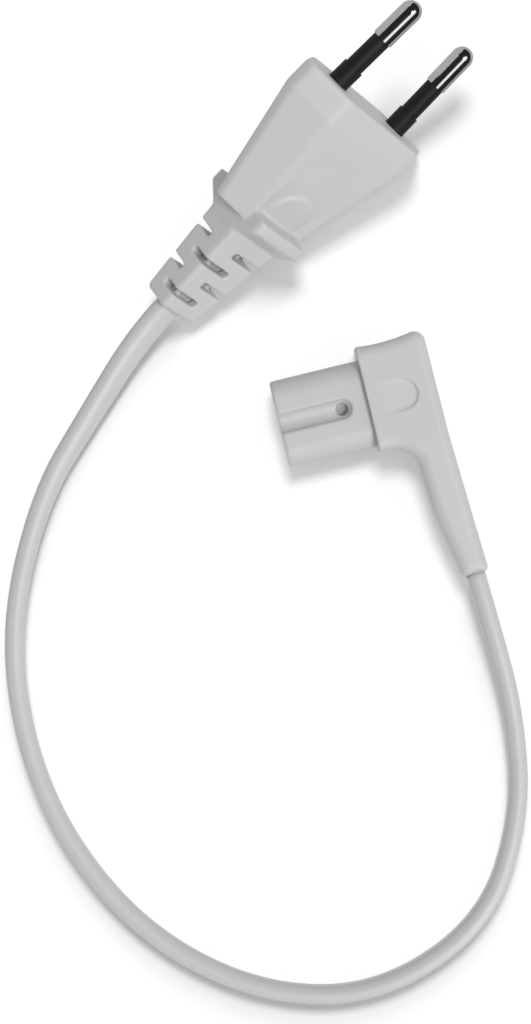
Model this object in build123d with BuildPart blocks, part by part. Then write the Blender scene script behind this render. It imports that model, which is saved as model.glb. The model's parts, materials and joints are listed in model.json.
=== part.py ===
"""Short mains lead: a two-pin plug, a flat twin cord and a right-angle two-pole connector.

Millimetres, +Z up, lying on the floor at z = 0 as it would be laid out for a
catalogue picture. The plug and the connector are each modelled in a frame of
their own and then placed on the floor; the cord's route joins the two.
"""

import os
from math import asin, atan2, cos, degrees, radians, sin, tan

from build123d import *

os.makedirs("parts", exist_ok=True)

# Plug pins
pin_diameter = 4.0
pin_length = 19.0
pin_spacing = 18.6  # at the plug's face
pin_tip_spacing = 17.5  # the pins lean towards each other
sleeve_length = 10.4
sleeve_diameter = 3.4
sleeve_collar_length = 3.7
sleeve_collar_diameter = 3.95
shank_diameter = 2.4  # under the sleeve
face_wall = 2.2  # overmould in front of the pin carrier
bridge_depth = 6.5
bridge_margin = 3.4  # carrier beyond each pin's axis
bridge_thickness = 5.8
bridge_corner = 1.2
collar_root = 1.0  # the sleeve's collar starts this deep in the carrier
pin_flange_diameter = 4.4
pin_flange_length = 1.0
barrel_diameter = 3.2
barrel_length = 5.5
barrel_floor = 1.0  # solid metal in front of the strands
strip_length = 1.2  # bare strands between the insulation and the barrel

# Plug body
plug_width = 35.3
plug_thickness = 13.9
broad_flat = 22.0  # flat part of each broad side, at the face
edge_flat = 2.2  # flat part of each narrow edge, at the face
rim_length = 5.2  # straight part behind the face
wing_length = 27.9  # face to the square ends of the wings
back_width = 22.4
back_thickness = 9.4
back_flat = 12.6
back_edge = 1.4
ridge_radius = 2.4
edge_radius = 0.9
face_radius = 0.6
scoop_start = 17.0  # finger scoop, from the face
scoop_depth = 0.9  # at the wings' ends
scoop_width = 12.4
disc_diameter = 8.4
disc_height = 0.4
disc_station = 22.6
stop_front = 25.6  # crest of the finger stop behind the scoop
stop_back = 27.8
stop_width = 13.2
stop_corner = 1.2
stop_height = 8.5  # from the plug's middle plane
stop_root = 3.0  # level where the stop's slopes start
stop_front_run = 0.6  # length of its front slope, from the root to the crest
stop_back_run = 3.1

# Strain relief
neck_thickness = 6.2
neck_root = 1.0  # the neck is rooted this deep in the body
relief_start = 30.6  # end of the neck
relief_end = 49.3
relief_width = (13.3, 9.3)  # at the neck's root and at its end
relief_thickness = (8.9, 6.5)
relief_corner = 0.9
relief_round = 0.85  # round edge where the cord comes out
slot_start = 34.4
slot_pitch = 3.8
slot_count = 4
slot_width = 1.25
slot_reach_w = 1.5  # how far each slot runs past the middle of a broad side
slot_reach_t = 0.5  # and past the middle of a narrow side

# Flat twin cord
cord_width = 5.4
cord_thickness = 3.3
core_diameter = 2.2
core_pitch = 2.4
strand_diameter = 1.2
plug_core_lead = 3.4  # straight end of each core inside the plug
connector_core_lead = 2.4
plug_cord_end = 31.0  # sheath ends here inside the plug, from the face

# Connector
nose_length = 16.0
lobe_spacing = 8.6
lobe_diameter = 7.0
groove_radius = 1.83  # of the ball-nosed cutter that makes each groove
groove_length = 13.2
groove_depth = 1.5
pit_diameter = 2.2  # at each groove's round end
pit_depth = 1.0
socket_diameter = 3.0
socket_depth = 3.2
contact_diameter = 3.6
contact_bore = 2.4
contact_length = 10.8
contact_floor = 1.0  # solid metal between the bore and the crimp
tail_diameter = 2.6
tail_length = 5.0
insert_seat = 0.6  # the nose's full section reaches this far into the housing
insert_lip = 1.6  # and its retaining shoulder further
insert_step = 1.5
insert_corner = 1.0
nose_bevel = 0.35
block_depth = 12.3  # along the nose
block_top = 10.05  # from the nose's middle, away from the boot
block_rise = 0.8  # the top edge is this much higher at the back
block_hollow = 0.28  # and dips this much behind the front lip
lip_run = 4.1  # from the front lip to the lowest point of the dip
block_bottom = 8.9
block_thickness = 10.0
block_corner = 2.0
boot_inner = 22.0  # the boot's inner side, from the nose's face
boot_draft = 0.7  # the inner side leans out by this much down to the knee
boot_knee = 21.7  # the taper starts here, below the nose's middle
knee_radius = 20.0
boot_length = 33.6  # end of the boot, below the nose's middle
boot_end = 27.4  # middle of the boot's end, from the nose's face
boot_end_width = 4.7
boot_lean = 3.0  # the cord leaves leaning away from the nose, in degrees
boot_end_thickness = 7.2
boot_flare = 0.2  # the outer side leans out a little below the block
flare_radius = 60.0
boot_corner = 4.0
boot_end_corner = 0.7
housing_radius = 1.9
dent_start = 18.3
dent_width = 5.6
dent_length = 6.6
dent_depth = 0.45
connector_tail_length = 19.8  # sheath inside the boot

# Layout on the floor, from under the middle of the plug and the connector together
plug_face = (7.94, 32.4)
plug_heading = 44.3
plug_pitch = 12.45  # nose up, with the end of the relief on the floor
plug_roll = 52.5
nose_face = (-7.06, -22.38)
connector_heading = 13.7
floor_gap = 0.03
boot_lead = 10.0  # straight run of cord below the boot
relief_lead = 7.0  # and behind the relief

cut_margin = 1.0  # cutters reach this far past what they cut

pin_lean = degrees(asin((pin_spacing - pin_tip_spacing) / 2 / pin_length))
carrier_back = face_wall + bridge_depth
barrel_back = carrier_back + pin_flange_length + barrel_length


def plug_station(distance):
    """Section plane of the plug, a distance behind its face."""
    return Plane((-distance, 0, 0), x_dir=(0, 1, 0), z_dir=(1, 0, 0))


def pin_plane(side):
    """Plane on the plug's face, its normal along a pin."""
    lean = radians(pin_lean)
    return Plane(
        (0, side * pin_spacing / 2, 0),
        x_dir=(0, 0, 1),
        z_dir=(cos(lean), -side * sin(lean), 0),
    )


def along_pin(side, distance):
    """Point on a pin's axis, a distance behind the plug's face."""
    return pin_plane(side).from_local_coords(Vector(0, 0, -distance))


def hexagon(width, thickness, flat, edge):
    """Corners of the plug's cross-section: broad flats, sloping shoulders, narrow edges."""
    w, t, f, e = width / 2, thickness / 2, flat / 2, edge / 2
    return [(f, t), (w, e), (w, -e), (f, -t), (-f, -t), (-w, -e), (-w, e), (-f, t)]


# Plug pins: tip, shank under the sleeve, flange behind the carrier, crimp barrel
pins, strands, cores = {}, {}, {}
for side in (1, -1):
    r, rs, rf, rb = (
        pin_diameter / 2,
        shank_diameter / 2,
        pin_flange_diameter / 2,
        barrel_diameter / 2,
    )
    back = barrel_back
    with BuildPart() as pin:
        axis_plane = pin_plane(side)
        profile_plane = Plane(
            axis_plane.origin, x_dir=axis_plane.x_dir, z_dir=-axis_plane.y_dir
        )
        with BuildSketch(profile_plane):
            with BuildLine():
                Polyline(
                    (0, pin_length),
                    (0, -back),
                    (rb, -back),
                    (rb, -carrier_back - pin_flange_length),
                    (rf, -carrier_back - pin_flange_length),
                    (rf, -carrier_back),
                    (rs, -carrier_back),
                    (rs, sleeve_length),
                    (r, sleeve_length),
                    (r, pin_length - r),
                )
                RadiusArc((r, pin_length - r), (0, pin_length), -r)
            make_face()
        revolve(axis=Axis(axis_plane.origin, axis_plane.z_dir))
        with BuildSketch(axis_plane.offset(-back)):
            Circle(strand_diameter / 2)
        extrude(amount=barrel_length - barrel_floor, mode=Mode.SUBTRACT)
    pins[side] = pin

    with BuildPart() as strand:
        with BuildSketch(pin_plane(side).offset(-back - strip_length)):
            Circle(strand_diameter / 2)
        extrude(amount=strip_length + barrel_length - barrel_floor)
    strands[side] = strand

    # Insulated core from the end of the sheath to the strip point
    core_end = along_pin(side, back + strip_length)
    core_knee = along_pin(side, back + strip_length + plug_core_lead)
    start = Vector(-plug_cord_end, side * core_pitch / 2, 0)
    with BuildPart() as core:
        with BuildLine():
            Polyline(start, start + Vector(plug_core_lead, 0, 0), core_knee, core_end)
        with BuildSketch(Plane(start, z_dir=(1, 0, 0))):
            Circle(core_diameter / 2)
        sweep(transition=Transition.RIGHT)
    cores[side] = core

# Pin carrier: the bridge that holds both pins, with their black sleeves
with BuildPart() as pin_carrier:
    with BuildSketch(plug_station(carrier_back)):
        RectangleRounded(
            pin_spacing + 2 * bridge_margin, bridge_thickness, bridge_corner
        )
    extrude(amount=bridge_depth)
    for side in (1, -1):
        with BuildSketch(pin_plane(side).offset(-face_wall - collar_root)):
            Circle(sleeve_collar_diameter / 2)
        extrude(amount=face_wall + collar_root + sleeve_collar_length)
        with BuildSketch(pin_plane(side).offset(sleeve_collar_length)):
            Circle(sleeve_diameter / 2)
        extrude(amount=sleeve_length - sleeve_collar_length)
    for side in (1, -1):
        add(pins[side].part, mode=Mode.SUBTRACT)

# Straight end of the flat sheath, inside the relief
with BuildPart() as plug_cord_tail:
    with BuildSketch(plug_station(relief_end)):
        SlotOverall(cord_width, cord_thickness)
    extrude(amount=relief_end - plug_cord_end)

# Finger scoops: ramps that sink between the wings on both broad sides
side_slope = (plug_thickness - back_thickness) / 2 / (wing_length - rim_length)
scoop_top = plug_thickness / 2 - side_slope * (scoop_start - rim_length)
scoop_drop = scoop_top - (back_thickness / 2 - scoop_depth)
scoop_slope = scoop_drop / (wing_length - scoop_start)
scoop_angle = atan2(scoop_drop, wing_length - scoop_start)


def scoop_level(distance):
    """Level of a scoop's floor, a distance behind the plug's face."""
    return scoop_top - scoop_slope * (distance - scoop_start)


with BuildPart() as finger_scoops:
    scoop_front = scoop_start - cut_margin
    scoop_back = wing_length + cut_margin
    with BuildSketch(Plane((0, 0, 0), x_dir=(1, 0, 0), z_dir=(0, -1, 0))):
        with BuildLine():
            Polyline(
                (-scoop_front, scoop_level(scoop_front)),
                (-scoop_back, scoop_level(scoop_back)),
                (-scoop_back, plug_thickness),
                (-scoop_front, plug_thickness),
                close=True,
            )
        make_face()
    extrude(amount=scoop_width / 2, both=True)
    mirror(about=Plane.XY)

# Finger stop: a sloping collar behind the scoops
with BuildPart() as finger_stop:
    with BuildSketch(Plane((0, 0, 0), x_dir=(1, 0, 0), z_dir=(0, -1, 0))):
        with BuildLine():
            Polyline(
                (-stop_front + stop_front_run, 0),
                (-stop_front + stop_front_run, stop_root),
                (-stop_front, stop_height),
                (-stop_back, stop_height),
                (-stop_back - stop_back_run, stop_root),
                (-stop_back - stop_back_run, 0),
                close=True,
            )
        make_face()
    extrude(amount=stop_width / 2, both=True)
    mirror(about=Plane.XY)
    with BuildSketch(plug_station(stop_back + stop_back_run)):
        RectangleRounded(stop_width, 2 * stop_height, stop_corner)
    extrude(
        amount=stop_back + stop_back_run - stop_front + stop_front_run,
        mode=Mode.INTERSECT,
    )

# Tapering strain relief, before its slots, with a thinner neck at its root
relief_root = wing_length - neck_root
with BuildPart() as relief:
    for distance, width, thickness in (
        (relief_end, relief_width[1], relief_thickness[1]),
        (relief_root, relief_width[0], relief_thickness[0]),
    ):
        with BuildSketch(plug_station(distance)):
            RectangleRounded(width, thickness, relief_corner)
    loft(ruled=True)
    end_face = relief.faces().sort_by(Axis.X)[0]
    fillet(end_face.outer_wire().edges(), relief_round)
    for side in (1, -1):
        with BuildSketch(Plane.XY.offset(side * neck_thickness / 2)):
            with Locations((-relief_start, 0)):
                Rectangle(
                    relief_start - relief_root + cut_margin,
                    2 * relief_width[0],
                    align=(Align.MIN, Align.CENTER),
                )
        extrude(amount=side * relief_thickness[0], mode=Mode.SUBTRACT)

# Plug body: overmoulded housing with wings, finger scoops and slotted relief
with BuildPart() as plug_body:
    for distance, width, thickness, flat, edge in (
        (0, plug_width, plug_thickness, broad_flat, edge_flat),
        (rim_length, plug_width, plug_thickness, broad_flat, edge_flat),
        (wing_length, back_width, back_thickness, back_flat, back_edge),
    ):
        with BuildSketch(plug_station(distance)) as section:
            with BuildLine():
                Polyline(*hexagon(width, thickness, flat, edge), close=True)
            make_face()
            tips = section.vertices().filter_by(
                lambda v, limit=width / 2: abs(v.X) > limit - 0.01
            )
            fillet(tips, edge_radius)
            ridges = section.vertices().filter_by(
                lambda v, limit=thickness / 2: abs(v.Y) > limit - 0.01
            )
            fillet(ridges, ridge_radius)
    loft(ruled=True)
    fillet(plug_body.faces().sort_by(Axis.X)[-1].outer_wire().edges(), face_radius)

    # Finger scoops between the wings, each with a plain raised disc on its floor
    add(finger_scoops.part, mode=Mode.SUBTRACT)
    for side in (1, -1):
        with BuildSketch(
            Plane(
                (-disc_station, 0, side * scoop_level(disc_station)),
                x_dir=(cos(scoop_angle), 0, side * sin(scoop_angle)),
                z_dir=(-sin(scoop_angle), 0, side * cos(scoop_angle)),
            )
        ):
            Circle(disc_diameter / 2)
        extrude(amount=disc_height, both=True)
    add(finger_stop.part)
    add(relief.part)

    # Slots wrap alternate corners of the relief, down to the cord
    slot_run = relief_width[0]
    for index in range(slot_count):
        station = slot_start + index * slot_pitch
        turn = -1 if index % 2 == 0 else 1
        for side in (1, -1):
            with BuildSketch(Plane.XY.offset(side * turn * cord_thickness / 2)):
                with Locations((-station, side * (slot_run - slot_reach_w) / 2)):
                    SlotOverall(slot_run + slot_reach_w, slot_width, rotation=90)
            extrude(amount=side * turn * slot_run, mode=Mode.SUBTRACT)
            with BuildSketch(
                Plane(
                    (0, side * cord_width / 2, 0), x_dir=(1, 0, 0), z_dir=(0, -1, 0)
                )
            ):
                with Locations(
                    (-station, side * turn * (slot_run - slot_reach_t) / 2)
                ):
                    SlotOverall(slot_run + slot_reach_t, slot_width, rotation=90)
            extrude(amount=-side * slot_run, mode=Mode.SUBTRACT)

    # The overmould takes the shape of what it is moulded around
    add(pin_carrier.part, mode=Mode.SUBTRACT)
    add(plug_cord_tail.part, mode=Mode.SUBTRACT)
    for side in (1, -1):
        add(pins[side].part, mode=Mode.SUBTRACT)
        add(strands[side].part, mode=Mode.SUBTRACT)
        add(cores[side].part, mode=Mode.SUBTRACT)

# Plug's place: turned as it lies, then lifted until its lowest corner is on the floor
heading, pitch, roll = radians(plug_heading), radians(plug_pitch), radians(plug_roll)
forward = Vector(cos(pitch) * cos(heading), cos(pitch) * sin(heading), sin(pitch))
across = Vector(-sin(heading), cos(heading), 0)
upward = forward.cross(across)
broad_side = across * -sin(roll) + upward * cos(roll)
turned = plug_body.part.moved(Plane((0, 0, 0), forward, broad_side).location)
face_height = -turned.bounding_box().min.Z
plug_frame = Plane((*plug_face, face_height), x_dir=forward, z_dir=broad_side)

# Connector, nose towards -x and boot towards -y, in a frame on the nose's middle
back_face = nose_length + block_depth
lean = radians(boot_lean)
boot_frame = Plane(
    (boot_end, -boot_length, 0), x_dir=(0, 0, 1), z_dir=(-sin(lean), cos(lean), 0)
)


def in_boot(depth, level=0.0):
    """Point on the boot's own line, a depth inside its end."""
    return boot_frame.from_local_coords(Vector(level, 0, depth))


def beside_boot(offset):
    """Point on the boot's end edge, towards the nose for a negative offset."""
    return (boot_end + offset * cos(lean), -boot_length + offset * sin(lean))


def nose_station(distance):
    """Section plane of the nose, a distance behind its face."""
    return Plane((distance, 0, 0), x_dir=(0, 1, 0), z_dir=(1, 0, 0))


contacts, contact_strands, contact_cores = {}, {}, {}
for side in (1, -1):
    middle = side * lobe_spacing / 2
    contact_back = socket_depth + contact_length
    tail_back = contact_back + tail_length
    with BuildPart() as contact:
        with BuildSketch(nose_station(socket_depth)):
            with Locations((middle, 0)):
                Circle(contact_diameter / 2)
        extrude(amount=contact_length)
        with BuildSketch(nose_station(socket_depth)):
            with Locations((middle, 0)):
                Circle(contact_bore / 2)
        extrude(amount=contact_length - contact_floor, mode=Mode.SUBTRACT)
        with BuildSketch(nose_station(contact_back)):
            with Locations((middle, 0)):
                Circle(tail_diameter / 2)
        extrude(amount=tail_length)
        with BuildSketch(nose_station(tail_back)):
            with Locations((middle, 0)):
                Circle(strand_diameter / 2)
        extrude(amount=-(tail_length - contact_floor), mode=Mode.SUBTRACT)
    contacts[side] = contact

    with BuildPart() as strand:
        with BuildSketch(nose_station(contact_back + contact_floor)):
            with Locations((middle, 0)):
                Circle(strand_diameter / 2)
        extrude(amount=tail_length - contact_floor + strip_length)
    contact_strands[side] = strand

    level = side * core_pitch / 2
    strip_point = tail_back + strip_length
    with BuildPart() as core:
        with BuildLine():
            Polyline(
                in_boot(connector_tail_length, level),
                in_boot((boot_length + middle) / cos(lean), level),
                (strip_point + connector_core_lead, middle, 0),
                (strip_point, middle, 0),
            )
        with BuildSketch(
            Plane(in_boot(connector_tail_length, level), z_dir=boot_frame.z_dir)
        ):
            Circle(core_diameter / 2)
        sweep(transition=Transition.RIGHT)
    contact_cores[side] = core

# Nose insert: figure-of-eight plug-in body with both socket bores
groove_end = groove_length - groove_radius  # middle of the groove's round end
insert_back = nose_length + insert_seat + insert_lip
with BuildPart() as nose_insert:
    with BuildSketch(nose_station(0)):
        SlotCenterToCenter(lobe_spacing, lobe_diameter)
    extrude(amount=nose_length + insert_seat)
    with BuildSketch(nose_station(nose_length + insert_seat)):
        RectangleRounded(
            lobe_spacing + lobe_diameter - 2 * insert_step,
            lobe_diameter - insert_step,
            insert_corner,
        )
    extrude(amount=insert_lip)
    nose_rim = nose_insert.faces().sort_by(Axis.X)[0]
    chamfer(nose_rim.outer_wire().edges(), nose_bevel)
    for side in (1, -1):
        groove_level = side * (lobe_diameter / 2 - groove_depth + groove_radius)
        with BuildSketch(nose_station(-cut_margin)):
            with Locations((0, groove_level)):
                Circle(groove_radius)
        extrude(amount=groove_end + cut_margin, mode=Mode.SUBTRACT)
        with Locations((groove_end, 0, groove_level)):
            Sphere(groove_radius, mode=Mode.SUBTRACT)
        pit_floor = side * (lobe_diameter / 2 - groove_depth - pit_depth)
        with BuildSketch(Plane((groove_end, 0, pit_floor), z_dir=(0, 0, side))):
            Circle(pit_diameter / 2)
        extrude(amount=lobe_diameter, mode=Mode.SUBTRACT)
        with BuildSketch(nose_station(0)):
            with Locations((side * lobe_spacing / 2, 0)):
                Circle(socket_diameter / 2)
        extrude(amount=socket_depth, mode=Mode.SUBTRACT)
        with BuildSketch(nose_station(socket_depth)):
            with Locations((side * lobe_spacing / 2, 0)):
                Circle(contact_diameter / 2)
        extrude(amount=contact_length, mode=Mode.SUBTRACT)
        with BuildSketch(nose_station(contact_back)):
            with Locations((side * lobe_spacing / 2, 0)):
                Circle(tail_diameter / 2)
        extrude(amount=insert_back - contact_back + cut_margin, mode=Mode.SUBTRACT)

# Straight end of the flat sheath, on edge inside the boot
with BuildPart() as connector_cord_tail:
    with BuildSketch(boot_frame):
        SlotOverall(cord_width, cord_thickness)
    extrude(amount=connector_tail_length)

# Housing: block behind the nose and a tapering boot to one side
block_corner_point = (back_face, block_top + block_rise)
with BuildPart() as connector_housing:
    with BuildSketch() as plan:
        with BuildLine():
            Polyline(
                (nose_length, block_top),
                (nose_length, -block_bottom),
                (boot_inner, -block_bottom),
                (boot_inner + boot_draft, -boot_knee),
                beside_boot(-boot_end_width / 2),
                beside_boot(boot_end_width / 2),
                (back_face + boot_flare, -block_bottom),
                block_corner_point,
            )
            ThreePointArc(
                block_corner_point,
                (nose_length + lip_run, block_top - block_hollow),
                (nose_length, block_top),
            )
        make_face()
        for corner, radius in (
            (block_corner_point, block_corner),
            ((boot_inner + boot_draft, -boot_knee), knee_radius),
            ((back_face + boot_flare, -block_bottom), flare_radius),
            ((boot_inner, -block_bottom), boot_corner),
            (beside_boot(-boot_end_width / 2), boot_end_corner),
            (beside_boot(boot_end_width / 2), boot_end_corner),
        ):
            fillet(plan.vertices().sort_by_distance((*corner, 0))[0], radius)
    extrude(amount=block_thickness / 2, both=True)
    # Side view: the boot thins towards its end
    with BuildSketch(Plane.YZ):
        with BuildLine():
            Polyline(
                (block_top + cut_margin, block_thickness / 2),
                (-block_bottom, block_thickness / 2),
                (-boot_length - cut_margin, boot_end_thickness / 2),
                (-boot_length - cut_margin, -boot_end_thickness / 2),
                (-block_bottom, -block_thickness / 2),
                (block_top + cut_margin, -block_thickness / 2),
                close=True,
            )
        make_face()
    extrude(amount=back_face + boot_end, mode=Mode.INTERSECT)
    rounded = (
        connector_housing.edges()
        .filter_by(lambda e: abs(e.center().Z) > boot_end_thickness / 2 - 0.01)
        .filter_by(lambda e: e.center().X > nose_length + 0.01)
        .filter_by(lambda e: e.center().Y > -boot_length + 0.5)
    )
    fillet(rounded, housing_radius)

    # Thumb dent on each broad side, deepest at its round end
    slope = atan2(dent_depth, dent_length)
    for side in (1, -1):
        with BuildSketch(
            Plane(
                (dent_start, 0, side * block_thickness / 2),
                x_dir=(cos(slope), 0, -side * sin(slope)),
                z_dir=(sin(slope), 0, side * cos(slope)),
            )
        ):
            with Locations((dent_length / 2 - dent_width / 2, 0)):
                SlotOverall(dent_length + dent_width, dent_width)
        extrude(amount=2 * dent_depth, mode=Mode.SUBTRACT)

    add(nose_insert.part, mode=Mode.SUBTRACT)
    add(connector_cord_tail.part, mode=Mode.SUBTRACT)
    for side in (1, -1):
        add(contacts[side].part, mode=Mode.SUBTRACT)
        add(contact_strands[side].part, mode=Mode.SUBTRACT)
        add(contact_cores[side].part, mode=Mode.SUBTRACT)

turn = radians(connector_heading)
connector_frame = Plane(
    (*nose_face, block_thickness / 2), x_dir=(cos(turn), sin(turn), 0), z_dir=(0, 0, 1)
)

# Cord: straight runs and tangent arcs on the floor, from the relief to the boot
on_floor = cord_width / 2 + floor_gap
relief_exit = plug_frame.from_local_coords(Vector(-relief_end, 0, 0))
boot_exit = connector_frame.from_local_coords(in_boot(0))
relief_approach = relief_exit - forward * relief_lead
boot_approach = connector_frame.from_local_coords(in_boot(-boot_lead))
floor_points = [
    (-40.2, -19.9),
    (-49.3, -34.8),
    (-54.8, -57.2),
    (-52.4, -78.3),
    (-44.4, -97.0),
    (-29.7, -113.6),
    (-9.6, -123.3),
    (11.0, -123.2),
    (29.7, -110.4),
    (35.8, -91.0),
    (34.5, -72.9),
]
route = [
    relief_exit,
    relief_approach,
    *[Vector(x, y, on_floor) for x, y in floor_points],
    boot_approach,
    boot_exit,
]
runs = [b - a for a, b in zip(route, route[1:])]
radii = [
    0.45 * min(a.length, b.length) / tan(radians(a.get_angle(b)) / 2)
    for a, b in zip(runs, runs[1:])
]
print("cord bend radii", [round(r, 1) for r in radii])

with BuildPart() as cord_run:
    with BuildLine() as cord_line:
        FilletPolyline(*route, radius=radii)
    with BuildSketch(Plane(relief_exit, x_dir=upward, z_dir=-forward)) as cord_section:
        SlotOverall(cord_width, cord_thickness)
    sweep()

length = cord_line.wires()[0].length
expected = cord_section.sketch.area * length
print(f"cord length {length:.2f} volume {cord_run.part.volume:.1f} against {expected:.1f}")

# Every piece goes to its place on the floor and into a file of its own
plug_pieces = {
    "plug_body": plug_body,
    "pin_carrier": pin_carrier,
    "plug_cord_tail": plug_cord_tail,
}
connector_pieces = {
    "connector_housing": connector_housing,
    "nose_insert": nose_insert,
    "connector_cord_tail": connector_cord_tail,
}
for side, name in ((1, "left"), (-1, "right")):
    plug_pieces[f"plug_pin_{name}"] = pins[side]
    plug_pieces[f"plug_strands_{name}"] = strands[side]
    plug_pieces[f"plug_core_{name}"] = cores[side]
    connector_pieces[f"socket_contact_{name}"] = contacts[side]
    connector_pieces[f"connector_strands_{name}"] = contact_strands[side]
    connector_pieces[f"connector_core_{name}"] = contact_cores[side]

for pieces, place in (
    (plug_pieces, plug_frame.location),
    (connector_pieces, connector_frame.location),
    ({"cord_run": cord_run}, Location()),
):
    for label, piece in pieces.items():
        solid = piece.part.moved(place)
        solid.label = label
        export_step(solid, f"parts/{label}.step")
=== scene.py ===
"""Looks of a short mains lead: moulded plug, flat cord and right-angle connector.
"""

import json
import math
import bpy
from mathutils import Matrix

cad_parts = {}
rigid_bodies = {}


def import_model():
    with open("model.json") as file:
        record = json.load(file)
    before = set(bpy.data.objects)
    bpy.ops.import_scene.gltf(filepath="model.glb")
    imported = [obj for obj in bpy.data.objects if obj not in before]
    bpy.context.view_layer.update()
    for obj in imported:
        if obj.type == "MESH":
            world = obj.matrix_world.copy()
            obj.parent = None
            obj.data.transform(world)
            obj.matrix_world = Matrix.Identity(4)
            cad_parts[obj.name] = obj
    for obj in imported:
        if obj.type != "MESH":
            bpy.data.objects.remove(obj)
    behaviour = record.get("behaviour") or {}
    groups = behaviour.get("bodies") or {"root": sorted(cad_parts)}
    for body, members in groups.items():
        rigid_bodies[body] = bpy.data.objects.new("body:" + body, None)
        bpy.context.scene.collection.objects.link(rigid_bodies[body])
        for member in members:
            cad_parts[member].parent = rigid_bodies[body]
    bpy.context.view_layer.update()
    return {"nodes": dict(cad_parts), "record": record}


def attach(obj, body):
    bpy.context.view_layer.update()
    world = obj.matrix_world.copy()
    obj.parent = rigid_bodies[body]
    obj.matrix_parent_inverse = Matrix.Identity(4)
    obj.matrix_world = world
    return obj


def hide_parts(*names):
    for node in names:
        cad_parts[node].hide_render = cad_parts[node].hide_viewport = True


bl_info = {
    "name": "Short mains lead",
    "version": (1, 0, 0),
    "blender": (4, 5, 0),
    "location": "View3D > Sidebar > Mains lead",
    "description": "Dresses a two-pin plug, a flat twin cord and a right-angle connector",
    "category": "Object",
}

import bpy
from mathutils import Matrix, Vector

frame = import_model()

MM = 0.001
SIDES = ("left", "right")

# The cord's route, from the end of the plug's relief to the end of the connector's boot
ROUTE_MM = [
    (-26.51, -1.22, 5.12),
    (-31.41, -6.0, 3.61),
    (-40.2, -19.9, 2.73),
    (-49.3, -34.8, 2.73),
    (-54.8, -57.2, 2.73),
    (-52.4, -78.3, 2.73),
    (-44.4, -97.0, 2.73),
    (-29.7, -113.6, 2.73),
    (-9.6, -123.3, 2.73),
    (11.0, -123.2, 2.73),
    (29.7, -110.4, 2.73),
    (35.8, -91.0, 2.73),
    (34.5, -72.9, 2.73),
    (30.39, -58.11, 5.0),
    (27.52, -48.54, 5.0),
]

# Pits in the nose's grooves, in mm: their floors' places from the middle of the two socket
# bores, and the radii between which the painted shade in them fades out
PIT_BEHIND_SOCKETS = 9.8
PIT_LEVEL = 1.0
PIT_SHADE_CORE_RADIUS = 0.4
PIT_SHADE_EDGE_RADIUS = 1.6

# Pieces made here that take the place of solids
SKINS = ("plug_shell", "connector_shell", "connector_nose", "cord")

# The floor reaches far past the picture and lies a hair below the solids
FLOOR_REACH = 3.0
FLOOR_DROP = 0.00003

# Sheets that the pins mirror, on one line each: name, grey level, beside or ahead of the pins,
# where they start and end sideways in card distances, and their edges in degrees from overhead
CARDS = (
    ("left card", 0.46, "beside", (-1.2, 1.6), (-150, -43)),
    ("overhead flag", 0.02, "beside", (-1.2, 0.8), (-43, 25)),
    ("right flag", 0.02, "beside", (-1.2, 0.8), (49, 95)),
    ("right card", 0.36, "beside", (-1.2, 1.6), (95, 150)),
    ("end flag", 0.02, "ahead", (-0.95, 1.6), (39, 95)),
    ("end card", 0.42, "ahead", (-1.6, 1.6), (95, 150)),
)

# Principled sockets that the finishes use
SOCKETS = {
    "base_color": "Base Color",
    "metallic": "Metallic",
    "roughness": "Roughness",
    "specular": "Specular IOR Level",
    "normal": "Normal",
}


class Value:
    """A node's output, on which Python's operators add Math nodes where it is a number."""

    def __init__(self, graph, socket):
        self.graph = graph
        self.socket = socket

    def math(self, operation, first, second):
        """A Math node on two numbers or outputs."""
        return self.graph.node(
            "ShaderNodeMath", {"operation": operation}, {0: first, 1: second}
        )

    def __add__(self, other):
        return self.math("ADD", self, other)

    def __radd__(self, other):
        return self.math("ADD", other, self)

    def __sub__(self, other):
        return self.math("SUBTRACT", self, other)

    def __rsub__(self, other):
        return self.math("SUBTRACT", other, self)

    def __mul__(self, other):
        return self.math("MULTIPLY", self, other)

    def __rmul__(self, other):
        return self.math("MULTIPLY", other, self)


class Graph:
    """Nodes of one material or world."""

    def __init__(self, owner):
        owner.use_nodes = True
        self.tree = owner.node_tree
        self.tree.nodes.clear()

    def node(self, kind, settings=None, sockets=None, output=0):
        """Adds a node: its settings first, then its sockets' values or links."""
        made = self.tree.nodes.new(kind)
        for key, value in (settings or {}).items():
            setattr(made, key, value)
        for key, value in (sockets or {}).items():
            if isinstance(value, Value):
                self.tree.links.new(value.socket, made.inputs[key])
            else:
                made.inputs[key].default_value = value
        return Value(self, made.outputs[output]) if made.outputs else None

    def noise(self, place, scale, detail=2.0, squeeze=(1.0, 1.0, 1.0)):
        """Noise from 0 to 1 over a place, finer with scale and along the axes that are squeezed."""
        squeezed = self.node("ShaderNodeMapping", None, {"Vector": place, "Scale": squeeze})
        return self.node(
            "ShaderNodeTexNoise", None, {"Vector": squeezed, "Scale": scale, "Detail": detail}
        )

    def mix(self, factor, first, second):
        """A colour between two others."""
        return self.node(
            "ShaderNodeMix",
            {"data_type": "RGBA"},
            {"Factor": factor, 6: first, 7: second},
            output=2,
        )

    def shades(self, factor, colour, dark, light):
        """A colour that goes from a darker to a lighter shade of itself."""
        return self.mix(factor, tinted(colour, dark), tinted(colour, light))

    def bump(self, height, depth):
        """A normal for fine relief of a depth in metres."""
        return self.node("ShaderNodeBump", None, {"Height": height, "Distance": depth})

    def surface(self, **sockets):
        """A Principled shader on the output, its sockets named as in SOCKETS."""
        named = {SOCKETS[key]: value for key, value in sockets.items()}
        shader = self.node("ShaderNodeBsdfPrincipled", None, named)
        self.node("ShaderNodeOutputMaterial", None, {"Surface": shader})


def tinted(colour, factor):
    """A colour made lighter or darker, with its alpha."""
    return (*(channel * factor for channel in colour[:3]), 1.0)


def grey(level):
    """A plain grey, with its alpha."""
    return (level, level, level, 1.0)


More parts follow.
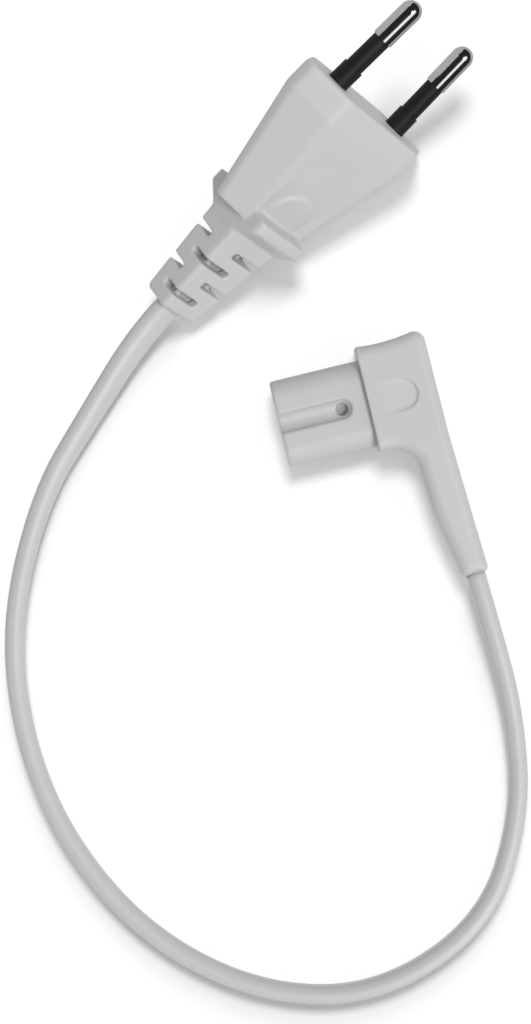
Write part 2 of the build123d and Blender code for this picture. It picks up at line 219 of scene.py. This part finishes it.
def moulded_plastic(name, colour, roughness, grain, pits=()):
    """Soft light plastic: faint mottling, uneven gloss, the mould's fine grain and painted shade in
    pits.
    """
    material = bpy.data.materials.new(name)
    graph = Graph(material)
    place = graph.node("ShaderNodeTexCoord", output="Object")
    mottle = graph.noise(place, scale=160.0, detail=4.0)
    cloud = graph.noise(place, scale=45.0)
    fine = graph.noise(place, scale=7000.0)
    painted_pit_shade = tinted(colour, 0.6)
    tone = graph.shades(mottle, colour, dark=0.975, light=1.025)
    # Painted shade: towards each pit's floor the base colour darkens to 0.6 of the plastic's,
    # standing in for the shade in the hole.
    for pit in pits:
        away = graph.node(
            "ShaderNodeVectorMath", {"operation": "DISTANCE"}, {0: place, 1: pit}, output="Value"
        )
        inside = graph.node(
            "ShaderNodeMapRange",
            {"interpolation_type": "SMOOTHSTEP"},
            {"Value": away, "From Min": PIT_SHADE_EDGE_RADIUS * MM, "From Max": PIT_SHADE_CORE_RADIUS * MM},
        )
        tone = graph.mix(inside, tone, painted_pit_shade)
    graph.surface(
        base_color=tone,
        roughness=roughness + (cloud - 0.5) * 0.12,
        specular=0.4,
        normal=graph.bump(fine, grain),
    )
    return material


def extruded_sheath(name, colour, roughness):
    """Smooth sheath with faint draw lines along its length, from the tube's own UV."""
    material = bpy.data.materials.new(name)
    graph = Graph(material)
    place = graph.node("ShaderNodeTexCoord", output="UV")
    lines = graph.noise(place, scale=1.0, detail=3.0, squeeze=(6.0, 60.0, 1.0))
    mottle = graph.noise(place, scale=1.0, detail=3.0, squeeze=(90.0, 4.0, 1.0))
    graph.surface(
        base_color=graph.shades(mottle, colour, dark=0.975, light=1.025),
        roughness=roughness + (lines - 0.5) * 0.1,
        specular=0.4,
        normal=graph.bump(lines, depth=0.00002),
    )
    return material


def sleeve_plastic(name, colour):
    """Black insulating sleeve, satin, with a slight haze."""
    material = bpy.data.materials.new(name)
    graph = Graph(material)
    place = graph.node("ShaderNodeTexCoord", output="Object")
    haze = graph.noise(place, scale=300.0, detail=3.0)
    fine = graph.noise(place, scale=5000.0)
    graph.surface(
        base_color=graph.shades(haze, colour, dark=0.8, light=1.3),
        roughness=0.42 + haze * 0.14,
        specular=0.25,
        normal=graph.bump(fine, depth=0.000015),
    )
    return material


def plated_metal(name, colour, roughness, axis):
    """Bright plate over turned metal: fine rings around the axis and a little haze."""
    material = bpy.data.materials.new(name)
    graph = Graph(material)
    place = graph.node("ShaderNodeTexCoord", output="Object")
    along = graph.node(
        "ShaderNodeVectorMath",
        {"operation": "DOT_PRODUCT"},
        {0: place, 1: axis},
        output="Value",
    )
    rings = graph.node(
        "ShaderNodeTexNoise",
        {"noise_dimensions": "1D"},
        {"W": along, "Scale": 9000.0, "Detail": 2.0},
    )
    haze = graph.noise(place, scale=400.0, detail=3.0)
    graph.surface(
        base_color=graph.shades(haze, colour, dark=0.94, light=1.04),
        metallic=1.0,
        roughness=roughness + haze * 0.06,
        normal=graph.bump(rings, depth=0.0000012),
    )
    return material


def stranded_copper(name, colour):
    """Bundle of fine strands: slanting ridges on a plain rod, with painted shade in the grooves
    between strands.
    """
    material = bpy.data.materials.new(name)
    graph = Graph(material)
    place = graph.node("ShaderNodeTexCoord", output="Object")
    ridges = graph.node(
        "ShaderNodeTexWave",
        {"bands_direction": "DIAGONAL"},
        {"Vector": place, "Scale": 900.0, "Distortion": 0.4},
        output="Fac",
    )
    # Painted shade: the copper darkens to 0.6 in the low parts of the ridges, between the strands.
    graph.surface(
        base_color=graph.shades(ridges, colour, dark=0.6, light=1.0),
        metallic=1.0,
        roughness=0.35,
        normal=graph.bump(ridges, depth=0.00005),
    )
    return material


def core_insulation(name, colour):
    """Thin coloured insulation of one core."""
    material = bpy.data.materials.new(name)
    graph = Graph(material)
    place = graph.node("ShaderNodeTexCoord", output="Object")
    mottle = graph.noise(place, scale=250.0, detail=3.0)
    graph.surface(
        base_color=graph.shades(mottle, colour, dark=0.9, light=1.1),
        roughness=0.45,
        normal=graph.bump(mottle, depth=0.00002),
    )
    return material


class MouldingSettings(bpy.types.PropertyGroup):
    """Grey mouldings at both ends."""

    colour: bpy.props.FloatVectorProperty(
        name="Plastic",
        description="Colour of the overmoulded ends",
        subtype="COLOR",
        min=0.0,
        max=1.0,
        default=(0.55, 0.55, 0.55),
    )
    insert_colour: bpy.props.FloatVectorProperty(
        name="Insert",
        description="Colour of the connector's harder nose",
        subtype="COLOR",
        min=0.0,
        max=1.0,
        default=(0.55, 0.55, 0.548),
    )
    grain: bpy.props.FloatProperty(
        name="Grain",
        description="Depth of the mould's fine texture",
        default=0.000012,
        unit="LENGTH",
        precision=6,
    )
    plug_voxel: bpy.props.FloatProperty(
        name="Plug skin",
        description="Size of the quads that the plug's soft skin is made of",
        default=0.0003,
        unit="LENGTH",
        precision=6,
    )
    connector_voxel: bpy.props.FloatProperty(
        name="Connector skin",
        description="Size of the quads that the connector's soft skins are made of",
        default=0.0002,
        unit="LENGTH",
        precision=6,
    )
    softening: bpy.props.IntProperty(
        name="Softening",
        description="Smoothing passes that round the mouldings' edges",
        default=5,
        min=0,
    )


class MetalSettings(bpy.types.PropertyGroup):
    """Pins, sleeves and the pieces inside."""

    pin_colour: bpy.props.FloatVectorProperty(
        name="Pins",
        description="Colour of the pins' bright plate",
        subtype="COLOR",
        min=0.0,
        max=1.0,
        default=(0.84, 0.835, 0.82),
    )
    sleeve_colour: bpy.props.FloatVectorProperty(
        name="Sleeves",
        description="Colour of the insulating sleeves",
        subtype="COLOR",
        min=0.0,
        max=1.0,
        default=(0.012, 0.012, 0.013),
    )
    contact_colour: bpy.props.FloatVectorProperty(
        name="Contacts",
        description="Colour of the connector's contacts",
        subtype="COLOR",
        min=0.0,
        max=1.0,
        default=(0.7, 0.62, 0.42),
    )
    copper_colour: bpy.props.FloatVectorProperty(
        name="Strands",
        description="Colour of the bare strands",
        subtype="COLOR",
        min=0.0,
        max=1.0,
        default=(0.72, 0.42, 0.28),
    )
    left_core_colour: bpy.props.FloatVectorProperty(
        name="Left core",
        description="Insulation of the left core",
        subtype="COLOR",
        min=0.0,
        max=1.0,
        default=(0.16, 0.08, 0.04),
    )
    right_core_colour: bpy.props.FloatVectorProperty(
        name="Right core",
        description="Insulation of the right core",
        subtype="COLOR",
        min=0.0,
        max=1.0,
        default=(0.05, 0.13, 0.38),
    )


class CordSettings(bpy.types.PropertyGroup):
    """Flat twin cord."""

    width: bpy.props.FloatProperty(
        name="Width",
        description="Wide side of the flat cord",
        default=0.0054,
        unit="LENGTH",
    )
    thickness: bpy.props.FloatProperty(
        name="Thickness",
        description="Narrow side of the flat cord",
        default=0.0033,
        unit="LENGTH",
    )
    length: bpy.props.FloatProperty(
        name="Length",
        description="Free cord between the relief and the boot",
        default=0.2546,
        unit="LENGTH",
    )
    relief_twist: bpy.props.FloatProperty(
        name="Twist",
        description="Lean of the wide side where the cord leaves the plug",
        default=math.radians(37.5),
        subtype="ANGLE",
    )
    untwist_length: bpy.props.FloatProperty(
        name="Untwist",
        description="Length over which the cord comes to stand on its edge",
        default=0.06,
        unit="LENGTH",
    )
    colour: bpy.props.FloatVectorProperty(
        name="Sheath",
        description="Colour of the sheath",
        subtype="COLOR",
        min=0.0,
        max=1.0,
        default=(0.55, 0.55, 0.55),
    )


class StageSettings(bpy.types.PropertyGroup):
    """Floor, light and camera."""

    camera_place: bpy.props.FloatVectorProperty(
        name="Camera",
        description="Place of the overhead camera",
        subtype="TRANSLATION",
        default=(-0.00949, -0.03773, 0.5),
    )
    focal_mm: bpy.props.FloatProperty(
        name="Focal length",
        description="Focal length for a picture 36 mm high, in millimetres",
        default=98.6,
    )
    floor_grey: bpy.props.FloatProperty(
        name="Floor",
        description="Grey level of the floor's paper",
        default=0.95,
        min=0.0,
        max=1.0,
        subtype="FACTOR",
    )
    ambient: bpy.props.FloatProperty(
        name="Ambient",
        description="Strength of the even light from all round",
        default=0.5,
    )
    key: bpy.props.FloatProperty(
        name="Key",
        description="Strength of the lamp on the lead, from the lower right",
        default=1.8,
    )
    sheen: bpy.props.FloatProperty(
        name="Sheen",
        description="Strength of the low lamp that only glosses the mouldings and the cord",
        default=1.8,
    )
    floor_key: bpy.props.FloatProperty(
        name="Floor key",
        description="Strength of the lamp that casts the lead's shadow on the floor",
        default=1.55,
    )
    cord_shade: bpy.props.FloatProperty(
        name="Cord shade",
        description="Strength of the low lamp on the floor that only the cord shades",
        default=0.72,
    )
    card_distance: bpy.props.FloatProperty(
        name="Cards",
        description="Distance of the cards that the pins mirror",
        default=0.45,
        unit="LENGTH",
    )


class LeadSettings(bpy.types.PropertyGroup):
    """All settings of the lead."""

    mouldings: bpy.props.PointerProperty(type=MouldingSettings)
    metal: bpy.props.PointerProperty(type=MetalSettings)
    cord: bpy.props.PointerProperty(type=CordSettings)
    stage: bpy.props.PointerProperty(type=StageSettings)


def settings(context):
    """The lead's settings, as the panel's user left them."""
    return context.scene.mains_lead


def mount(name):
    """Place and axis of one of the record's mounts."""
    found = next(each for each in frame["record"]["mounts"] if each["name"] == name)
    return Vector(found["pos_m"]), Vector(found["axis"])


def mount_pair(kind):
    """Middle and common axis of the left and the right mount of a kind."""
    (left, left_axis), (right, right_axis) = (mount(f"{kind}_{side}") for side in SIDES)
    return (left + right) / 2, (left_axis + right_axis).normalized()


def add_object(name, data):
    """A new object in the scene."""
    made = bpy.data.objects.new(name, data)
    bpy.context.scene.collection.objects.link(made)
    return made


def add_collection(name, members):
    """A collection for the lamps' linking, which leaves its members where they are."""
    made = bpy.data.collections.new(name)
    for member in members:
        made.objects.link(member)
    return made


def coat(piece, material):
    """A finish over the whole of a piece."""
    piece.data.materials.clear()
    piece.data.materials.append(material)


def dress(node, material):
    """A solid that stays as it is, with a finish of its own."""
    coat(frame["nodes"][node], material)


def finish_piece(piece, material):
    """A new piece's finish and its ride on the lead's only body."""
    coat(piece, material)
    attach(piece, "root")


def soft_skin(node, name, voxel, passes):
    """A moulding's skin, remeshed from its solid and smoothed so that its edges are rounded."""
    draft = add_object(name + "_draft", frame["nodes"][node].data.copy())
    remesh = draft.modifiers.new("Remesh", "REMESH")
    remesh.mode = "VOXEL"
    remesh.voxel_size = voxel
    smooth = draft.modifiers.new("Smooth", "SMOOTH")
    smooth.factor = 0.5
    smooth.iterations = passes
    depsgraph = bpy.context.evaluated_depsgraph_get()
    mesh = bpy.data.meshes.new_from_object(draft.evaluated_get(depsgraph))
    bpy.data.objects.remove(draft)
    mesh.shade_smooth()
    skin = add_object(name, mesh)
    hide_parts(node)
    return skin


def groove_pits():
    """Middles of the pits' floors, at the round ends of the nose's two grooves, where shade is
    painted.
    """
    middle, outward = mount_pair("socket")
    return [
        middle + MM * (Vector((0, 0, level)) - PIT_BEHIND_SOCKETS * outward)
        for level in (PIT_LEVEL, -PIT_LEVEL)
    ]


class LEAD_OT_mouldings(bpy.types.Operator):
    """Give the plug and the connector their soft moulded skins"""

    bl_idname = "mains_lead.mouldings"
    bl_label = "Mouldings"

    def execute(self, context):
        chosen = settings(context).mouldings
        body = moulded_plastic(
            "body plastic", chosen.colour, roughness=0.5, grain=chosen.grain
        )
        insert = moulded_plastic(
            # The insert's finish has shade painted into the pits at the grooves' ends.
            "insert plastic with painted pit shade",
            chosen.insert_colour,
            roughness=0.42,
            grain=chosen.grain,
            pits=groove_pits(),
        )
        for node, name, voxel, material, slot in (
            ("plug_body", "plug_shell", chosen.plug_voxel, body, "body_grey"),
            ("connector_housing", "connector_shell", chosen.connector_voxel, body, "body_grey"),
            ("nose_insert", "connector_nose", chosen.connector_voxel, insert, "insert_grey"),
        ):
            skin = soft_skin(node, name, voxel, chosen.softening)
            finish_piece(skin, material)
        return {"FINISHED"}


class LEAD_OT_pins(bpy.types.Operator):
    """Dress the pins, their sleeves and the connector's contacts"""

    bl_idname = "mains_lead.pins"
    bl_label = "Pins and contacts"

    def execute(self, context):
        chosen = settings(context).metal
        dress("pin_carrier", sleeve_plastic("sleeve plastic", chosen.sleeve_colour))
        for side in SIDES:
            _, pin_axis = mount(f"plug_pin_{side}")
            pin = plated_metal(
                f"pin plate {side}", chosen.pin_colour, roughness=0.07, axis=pin_axis
            )
            dress(f"plug_pin_{side}", pin)
            _, socket_axis = mount(f"socket_{side}")
            contact = plated_metal(
                f"contact brass {side}", chosen.contact_colour, roughness=0.25, axis=socket_axis
            )
            dress(f"socket_contact_{side}", contact)
        return {"FINISHED"}


class LEAD_OT_cores(bpy.types.Operator):
    """Dress the insulated cores and the bare strands inside both ends"""

    bl_idname = "mains_lead.cores"
    bl_label = "Cores and strands"

    def execute(self, context):
        chosen = settings(context).metal
        copper = stranded_copper("strand copper", chosen.copper_colour)
        colours = (chosen.left_core_colour, chosen.right_core_colour)
        for side, colour in zip(SIDES, colours):
            core = core_insulation(f"core insulation {side}", colour)
            for end in ("plug", "connector"):
                dress(f"{end}_core_{side}", core)
                dress(f"{end}_strands_{side}", copper)
        return {"FINISHED"}


def route_line(resolution):
    """Points along the smooth spline whose control points are the route's."""
    curve = bpy.data.curves.new("route", "CURVE")
    curve.dimensions = "3D"
    curve.resolution_u = resolution
    spline = curve.splines.new("NURBS")
    spline.points.add(len(ROUTE_MM) - 1)
    for point, place in zip(spline.points, ROUTE_MM):
        point.co = (*(value * MM for value in place), 1.0)
    spline.order_u = 3
    spline.use_endpoint_u = True
    holder = bpy.data.objects.new("route", curve)
    mesh = bpy.data.meshes.new_from_object(holder)
    line = [vertex.co.copy() for vertex in mesh.vertices]
    bpy.data.meshes.remove(mesh)
    bpy.data.objects.remove(holder)
    bpy.data.curves.remove(curve)
    return line


def flat_section(width, thickness, steps):
    """Outline of the flat cord: two half rounds and the flats between them."""
    radius = thickness / 2
    reach = width / 2 - radius
    outline = []
    for end in (1, -1):
        for step in range(steps + 1):
            angle = math.pi * step / steps
            outline.append(
                (end * (reach + radius * math.sin(angle)), end * radius * math.cos(angle))
            )
    return outline


def swept_tube(name, line, outline, twist_at):
    """A closed tube along a line, its section upright and leaning by twist_at(distance)."""
    vertices, along, distance = [], [], 0.0
    for index, place in enumerate(line):
        before = line[max(index - 1, 0)]
        after = line[min(index + 1, len(line) - 1)]
        if index:
            distance += (place - before).length
        tangent = (after - before).normalized()
        up = (Vector((0, 0, 1)) - tangent * tangent.z).normalized()
        lean = twist_at(distance)
        wide = up * math.cos(lean) + tangent.cross(up) * math.sin(lean)
        thin = tangent.cross(wide)
        vertices += [place + wide * a + thin * b for a, b in outline]
        along.append(distance)
    count, total = len(outline), along[-1]
    around = range(count)
    faces, unrolled = [], []
    for ring in range(len(line) - 1):
        for corner in around:
            quad = ((ring, corner), (ring, corner + 1), (ring + 1, corner + 1), (ring + 1, corner))
            faces.append([row * count + column % count for row, column in quad])
            unrolled += [(along[row] / total, column / count) for row, column in quad]
    last = (len(line) - 1) * count
    faces += [list(reversed(around)), [last + corner for corner in around]]
    unrolled += [(0.0, corner / count) for corner in reversed(around)]
    unrolled += [(1.0, corner / count) for corner in around]
    mesh = bpy.data.meshes.new(name)
    mesh.from_pydata(vertices, [], faces)
    uv = mesh.uv_layers.new(name=name)
    for loop, place in zip(uv.data, unrolled):
        loop.uv = place
    mesh.shade_smooth()
    return mesh


class LEAD_OT_cord(bpy.types.Operator):
    """Lay the flat cord along its route"""

    bl_idname = "mains_lead.cord"
    bl_label = "Cord"

    def execute(self, context):
        chosen = settings(context).cord
        line = route_line(resolution=24)

        def twist_at(distance):
            """The lean, which eases from the relief's to none."""
            share = min(distance / chosen.untwist_length, 1.0)
            return chosen.relief_twist * (1.0 - share * share * (3.0 - 2.0 * share))

        outline = flat_section(chosen.width, chosen.thickness, steps=10)
        cord = add_object("cord", swept_tube("cord", line, outline, twist_at))
        sheath = extruded_sheath("cord sheath", chosen.colour, roughness=0.45)
        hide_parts("cord_run")
        finish_piece(cord, sheath)
        # Painted shade: the cord's tails, seen inside the reliefs' slots, get the sheath colour
        # darkened to 0.78.
        tail_painted_shade = tinted(chosen.colour, 0.78)
        tail = moulded_plastic("tail sheath with painted shade", tail_painted_shade, roughness=0.45, grain=0.00001)
        dress("plug_cord_tail", tail)
        dress("connector_cord_tail", tail)
        return {"FINISHED"}


def sun(name, strength, along, degrees, lit, shading=None):
    """A distant lamp on one collection's objects, shaded by all pieces or by one collection."""
    data = bpy.data.lights.new(name, "SUN")
    data.energy = strength
    data.angle = math.radians(degrees)
    lamp = add_object(name, data)
    lamp.rotation_euler = Vector(along).to_track_quat("-Z", "Y").to_euler()
    lamp.light_linking.receiver_collection = lit
    lamp.light_linking.blocker_collection = shading
    return lamp


def plane(name, corners, material):
    """A flat sheet of the stage."""
    mesh = bpy.data.meshes.new(name)
    mesh.from_pydata(corners, [], [(0, 1, 2, 3)])
    mesh.materials.append(material)
    sheet = add_object(name, mesh)
    return sheet


def matt_paper(name, level):
    """Plain paper without any gloss."""
    material = bpy.data.materials.new(name)
    Graph(material).surface(base_color=grey(level), roughness=1.0, specular=0.0)
    return material


def even_glow(name, level):
    """An even grey that no lamp changes."""
    material = bpy.data.materials.new(name)
    graph = Graph(material)
    glow = graph.node("ShaderNodeEmission", None, {"Color": grey(level)})
    graph.node("ShaderNodeOutputMaterial", None, {"Surface": glow})
    return material


def card(name, level, turned, reach, angles, distance):
    """A sheet that only mirrors show, with two edges at one distance from the pins' middle."""
    middle, axis = mount_pair("plug_pin")
    ahead = Vector((axis.x, axis.y, 0.0)).normalized()
    overhead = Vector((0, 0, 1))
    aside = ahead.cross(overhead)
    outward, sideways = (aside, ahead) if turned == "beside" else (ahead, aside)
    first, second = (
        middle + distance * (outward * math.sin(angle) + overhead * math.cos(angle))
        for angle in map(math.radians, angles)
    )
    start, end = (sideways * (distance * share) for share in reach)
    corners = [first + start, second + start, second + end, first + end]
    sheet = plane(name, corners, even_glow(name, level))
    sheet.visible_camera = False
    sheet.visible_diffuse = False
    sheet.visible_transmission = False
    sheet.visible_shadow = False


def studio_world(ambient):
    """Even light from all round, which the camera and mirrors see as plain white."""
    world = bpy.data.worlds.new("studio")
    graph = Graph(world)
    seen = graph.node("ShaderNodeLightPath", output="Is Camera Ray")
    for ray in ("Is Glossy Ray", "Is Transmission Ray"):
        other = graph.node("ShaderNodeLightPath", output=ray)
        seen = seen.math("MAXIMUM", seen, other)
    strength = ambient + seen * (1.0 - ambient)
    backdrop = graph.node(
        "ShaderNodeBackground", None, {"Color": grey(1.0), "Strength": strength}
    )
    graph.node("ShaderNodeOutputWorld", None, {"Surface": backdrop})
    return world


class LEAD_OT_stage(bpy.types.Operator):
    """Add the floor, the studio light and the overhead camera"""

    bl_idname = "mains_lead.stage"
    bl_label = "Stage"

    def execute(self, context):
        chosen = settings(context).stage
        scene = context.scene
        scene.view_settings.view_transform = "Standard"
        scene.world = studio_world(chosen.ambient)

        lead = add_collection("lead", scene.objects)
        mouldings = add_collection("mouldings", [scene.objects[name] for name in SKINS])
        cord_alone = add_collection("cord alone", [scene.objects["cord"]])
        corners = [
            (x * FLOOR_REACH, y * FLOOR_REACH, -FLOOR_DROP)
            for x, y in ((-1, -1), (1, -1), (1, 1), (-1, 1))
        ]
        floor = plane("floor", corners, matt_paper("floor", chosen.floor_grey))
        floor.visible_glossy = False
        ground = add_collection("ground", [floor])
        for each in CARDS:
            card(*each, chosen.card_distance)

        sun("key", chosen.key, along=(-0.44, 0.25, -1.0), degrees=20, lit=lead)
        sheen = sun(
            "sheen", chosen.sheen, along=(-0.605, 0.62, -0.5), degrees=20, lit=mouldings
        )
        sheen.visible_diffuse = False
        sun("floor key", chosen.floor_key, along=(0.0, -0.5, -1.0), degrees=18, lit=ground)
        sun(
            "cord shade",
            chosen.cord_shade,
            along=(0.0, -1.2, -1.0),
            degrees=26,
            lit=ground,
            shading=cord_alone,
        )

        data = bpy.data.cameras.new("overhead")
        data.sensor_fit = "VERTICAL"
        data.sensor_height = 36.0
        data.lens = chosen.focal_mm
        data.clip_start = 0.01
        camera = add_object("overhead", data)
        camera.matrix_world = Matrix.Translation(chosen.camera_place)
        scene.camera = camera
        return {"FINISHED"}


class LEAD_PT_panel(bpy.types.Panel):
    """Operators of the lead, in building order"""

    bl_idname = "LEAD_PT_panel"
    bl_label = "Mains lead"
    bl_space_type = "VIEW_3D"
    bl_region_type = "UI"
    bl_category = "Mains lead"

    def draw(self, context):
        for operator in OPERATORS:
            self.layout.operator(operator.bl_idname)


GROUPS = (MouldingSettings, MetalSettings, CordSettings, StageSettings, LeadSettings)
OPERATORS = (
    LEAD_OT_mouldings,
    LEAD_OT_pins,
    LEAD_OT_cores,
    LEAD_OT_cord,
    LEAD_OT_stage,
)


def register():
    for each in (*GROUPS, *OPERATORS, LEAD_PT_panel):
        bpy.utils.register_class(each)
    bpy.types.Scene.mains_lead = bpy.props.PointerProperty(type=LeadSettings)


def unregister():
    del bpy.types.Scene.mains_lead
    for each in reversed((*GROUPS, *OPERATORS, LEAD_PT_panel)):
        bpy.utils.unregister_class(each)


def main():
    """Builds the lead and its stage."""
    register()
    bpy.ops.mains_lead.mouldings()
    bpy.ops.mains_lead.pins()
    bpy.ops.mains_lead.cores()
    bpy.ops.mains_lead.cord()
    bpy.ops.mains_lead.stage()


if __name__ == "__main__":
    main()
